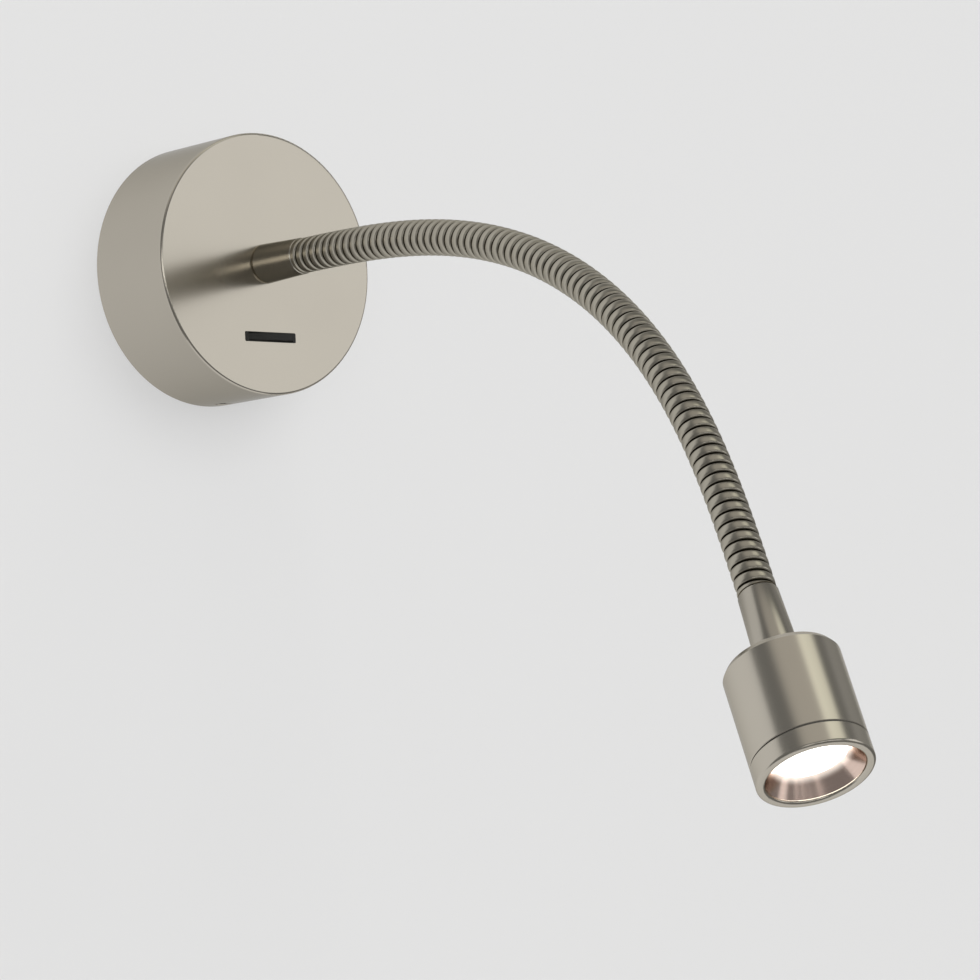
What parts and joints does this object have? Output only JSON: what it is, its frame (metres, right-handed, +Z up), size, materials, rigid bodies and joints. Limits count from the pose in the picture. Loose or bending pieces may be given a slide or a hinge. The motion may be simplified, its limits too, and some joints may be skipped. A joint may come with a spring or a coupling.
{
  "type": "wall reading lamp",
  "caption": "Bedside wall reading lamp: round satin nickel base with a slim rocker switch, bendable gooseneck arm and short cylindrical light head.",
  "frame": {"origin": "centre of the base's wall face", "axes": "+Z up, -Y out of the wall into the room, +X to the right seen from the room"},
  "size_m": [0.112, 0.3705, 0.2654],
  "materials": {
    "satin_nickel": "satin nickel plate over steel",
    "satin_nickel_arm": "nickel plated wound hose",
    "satin_nickel_head": "satin nickel plate over turned aluminium",
    "zinc_plate": "zinc plated steel sheet",
    "zinc_screw": "zinc plated",
    "black_plastic": "moulded, fine satin",
    "white_plastic": "moulded",
    "brass_part": "turned",
    "rubber_black": "moulded",
    "lead_sheath": "soft white sheath",
    "cast_sink": "machined, bare",
    "pad_grey": "soft thermal pad",
    "board_white": "white coated aluminium board",
    "emitter_yellow": "phosphor over the light chip",
    "mirror_cone": "polished",
    "lens_clear": "frosted clear"
  },
  "bodies": {
    "base": {"mounting_plate": "zinc_plate", "cable_grommet": "rubber_black", "earth_screw": "brass_part", "terminal_block": "white_plastic", "terminal_screws": "zinc_screw", "driver_case": "white_plastic", "driver_lid": "white_plastic", "driver_screws": "zinc_screw", "base_cover": "satin_nickel", "cover_screws": "satin_nickel_arm", "switch_housing": "black_plastic", "switch_blades": "brass_part", "base_ferrule": "satin_nickel", "base_nipple": "zinc_screw", "base_washer": "zinc_screw", "base_nut": "zinc_screw", "gooseneck_01": "satin_nickel_arm", "lead_01": "lead_sheath"},
    "rocker": {"switch_rocker": "black_plastic"},
    "neck_02": {"gooseneck_02": "satin_nickel_arm", "lead_02": "lead_sheath"},
    "neck_03": {"gooseneck_03": "satin_nickel_arm", "lead_03": "lead_sheath"},
    "neck_04": {"gooseneck_04": "satin_nickel_arm", "lead_04": "lead_sheath"},
    "neck_05": {"gooseneck_05": "satin_nickel_arm", "lead_05": "lead_sheath"},
    "neck_06": {"gooseneck_06": "satin_nickel_arm", "lead_06": "lead_sheath"},
    "neck_07": {"gooseneck_07": "satin_nickel_arm", "lead_07": "lead_sheath"},
    "neck_08": {"gooseneck_08": "satin_nickel_arm", "lead_08": "lead_sheath"},
    "neck_09": {"gooseneck_09": "satin_nickel_arm", "lead_09": "lead_sheath"},
    "neck_10": {"gooseneck_10": "satin_nickel_arm", "lead_10": "lead_sheath"},
    "neck_11": {"gooseneck_11": "satin_nickel_arm", "lead_11": "lead_sheath"},
    "neck_12": {"gooseneck_12": "satin_nickel_arm", "lead_12": "lead_sheath"},
    "neck_13": {"gooseneck_13": "satin_nickel_arm", "lead_13": "lead_sheath"},
    "head": {"gooseneck_14": "satin_nickel_arm", "lead_14": "lead_sheath", "head_ferrule": "satin_nickel", "head_nipple": "zinc_screw", "head_washer": "zinc_screw", "head_nut": "zinc_screw", "head_housing": "satin_nickel_head", "heat_sink": "cast_sink", "thermal_pad": "pad_grey", "light_board": "board_white", "light_emitter": "emitter_yellow", "board_screws": "zinc_screw", "lens_holder": "white_plastic", "lens": "lens_clear", "reflector": "mirror_cone", "bezel_ring": "satin_nickel_head", "bezel_seal": "rubber_black"}
  },
  "joints": [
    {"name": "arm_nod_01", "type": "hinge", "parent": "base", "child": "neck_02", "pos_m": [0, -0.07973, 0], "axis": [0.9789, 0, -0.2045], "range_deg": [-18.23, 15.77]},
    {"name": "arm_swing_02", "type": "hinge", "parent": "neck_02", "child": "neck_03", "pos_m": [-0.0001, -0.10336, -0.0005], "axis": [0.2043, -0.0473, 0.9778], "range_deg": [-14, 14]},
    {"name": "arm_nod_03", "type": "hinge", "parent": "neck_03", "child": "neck_04", "pos_m": [-0.00046, -0.12694, -0.00219], "axis": [0.9789, 0, -0.2045], "range_deg": [-21.28, 12.72]},
    {"name": "arm_swing_04", "type": "hinge", "parent": "neck_04", "child": "neck_05", "pos_m": [-0.00117, -0.15032, -0.0056], "axis": [0.2007, -0.1927, 0.9605], "range_deg": [-14, 14]},
    {"name": "arm_nod_05", "type": "hinge", "parent": "neck_05", "child": "neck_06", "pos_m": [-0.00232, -0.17329, -0.0111], "axis": [0.9789, 0, -0.2045], "range_deg": [-23, 11]},
    {"name": "arm_swing_06", "type": "hinge", "parent": "neck_06", "child": "neck_07", "pos_m": [-0.00395, -0.19553, -0.01892], "axis": [0.1883, -0.3904, 0.9012], "range_deg": [-14, 14]},
    {"name": "arm_nod_07", "type": "hinge", "parent": "neck_07", "child": "neck_08", "pos_m": [-0.00609, -0.21674, -0.02914], "axis": [0.9789, 0, -0.2045], "range_deg": [-23.66, 10.34]},
    {"name": "arm_swing_08", "type": "hinge", "parent": "neck_08", "child": "neck_09", "pos_m": [-0.00871, -0.2366, -0.0417], "axis": [0.1651, -0.5903, 0.7902], "range_deg": [-14, 14]},
    {"name": "arm_nod_09", "type": "hinge", "parent": "neck_09", "child": "neck_10", "pos_m": [-0.01179, -0.25485, -0.05641], "axis": [0.9789, 0, -0.2045], "range_deg": [-23.27, 10.73]},
    {"name": "arm_swing_10", "type": "hinge", "parent": "neck_10", "child": "neck_11", "pos_m": [-0.01525, -0.27134, -0.07299], "axis": [0.1353, -0.7499, 0.6476], "range_deg": [-14, 14]},
    {"name": "arm_nod_11", "type": "hinge", "parent": "neck_11", "child": "neck_12", "pos_m": [-0.01903, -0.28609, -0.09107], "axis": [0.9789, 0, -0.2045], "range_deg": [-21.73, 12.27]},
    {"name": "arm_swing_12", "type": "hinge", "parent": "neck_12", "child": "neck_13", "pos_m": [-0.02304, -0.29926, -0.11029], "axis": [0.1088, -0.8467, 0.5209], "range_deg": [-14, 14]},
    {"name": "arm_nod_13", "type": "hinge", "parent": "neck_13", "child": "head", "pos_m": [-0.02721, -0.31123, -0.13024], "axis": [0.9789, 0, -0.2045], "range_deg": [-18.54, 15.46]},
    {"name": "switch_press", "type": "hinge", "parent": "base", "child": "rocker", "pos_m": [0, -0.037, -0.028], "axis": [0, 0, 1], "range_deg": [0, 10]}
  ]
}
